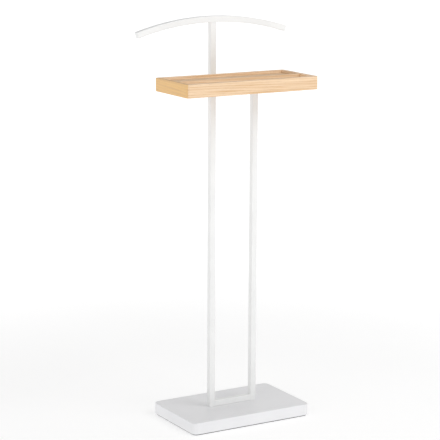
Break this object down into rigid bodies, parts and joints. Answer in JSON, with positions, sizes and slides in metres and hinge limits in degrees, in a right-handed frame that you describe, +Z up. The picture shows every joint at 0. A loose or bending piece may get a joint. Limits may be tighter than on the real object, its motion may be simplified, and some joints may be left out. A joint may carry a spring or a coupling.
{
  "type": "valet stand",
  "caption": "Free-standing valet stand: weighted base slab, square tube posts, wooden tray with a trouser slot, and an arched jacket hanger.",
  "frame": {"origin": "centre of the felt underside that rests on the floor", "axes": "+Z up along the posts; +X along the base's long side, to the right of a person facing the stand; +Y to the back, away from the tray"},
  "size_m": [0.4654, 0.2905, 1.08],
  "materials": {
    "white_powder_coat": "fine satin powder coat",
    "white_lacquer": "satin white lacquer over fibreboard",
    "white_plastic": "matte",
    "oiled_ash": "clear satin oil, grain along each board",
    "ash_plywood": "clear satin oil",
    "beech_dowel": "raw",
    "plain_steel": "oiled mill finish",
    "zinc_steel": "zinc plated",
    "brass_bush": "plain",
    "felt": "pressed felt"
  },
  "bodies": {
    "root": {"base_plate": "white_lacquer", "base_felt": "felt", "ballast_bars": "plain_steel", "ballast_screws": "zinc_steel", "base_bolts": "zinc_steel", "base_washers": "zinc_steel", "left_post": "white_powder_coat", "right_post": "white_powder_coat", "bottom_crossbar": "white_powder_coat", "foot_inserts": "zinc_steel", "post_top_insert": "zinc_steel", "right_post_cap": "white_plastic", "hanger_bar": "white_powder_coat", "hanger_left_cap": "white_plastic", "hanger_right_cap": "white_plastic", "hanger_bolt": "zinc_steel", "hanger_washer": "zinc_steel", "hanger_access_plug": "white_plastic", "tray_front_rail": "oiled_ash", "tray_back_board": "oiled_ash", "tray_left_board": "oiled_ash", "tray_right_board": "oiled_ash", "tray_partition": "oiled_ash", "tray_floor": "ash_plywood", "corner_feathers": "ash_plywood", "partition_dowels": "beech_dowel", "tray_bushes": "brass_bush", "tray_screws": "zinc_steel"}
  },
  "joints": []
}
